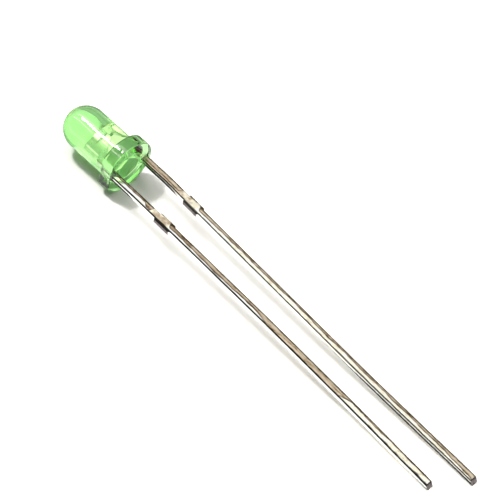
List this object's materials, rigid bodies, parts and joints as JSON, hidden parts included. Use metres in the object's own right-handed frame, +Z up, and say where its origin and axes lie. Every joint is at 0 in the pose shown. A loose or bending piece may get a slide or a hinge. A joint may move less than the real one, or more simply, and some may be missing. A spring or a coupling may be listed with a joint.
{
  "type": "through hole led",
  "caption": "Green-tinted clear light emitting diode: a domed lens on a flange flattened on the cathode side, with long thin leads, lying on its side.",
  "frame": {"origin": "centre of the seating face, on the body's axis midway between the leads", "axes": "+X from the anode to the cathode, +Y from the dome to the lead tips, +Z up from the surface that the diode lies on; the body's axis slopes down 3.3 degrees towards the tips, and the diode is rolled 1.9 degrees so that the rim and both tips touch the surface"},
  "size_m": [0.0044, 0.0351, 0.0038],
  "materials": {
    "green_epoxy": "clear, moulded, glossy",
    "tinned_steel": "tinned, smooth, slightly tarnished",
    "chip": "sawn crystal",
    "silver_paste": "matte silver-filled",
    "gold_wire": "bright drawn gold"
  },
  "bodies": {
    "root": {"epoxy_lens": "green_epoxy", "cathode_lead": "tinned_steel", "anode_lead": "tinned_steel", "led_chip": "chip", "die_attach": "silver_paste", "bond_wire": "gold_wire"}
  },
  "joints": []
}
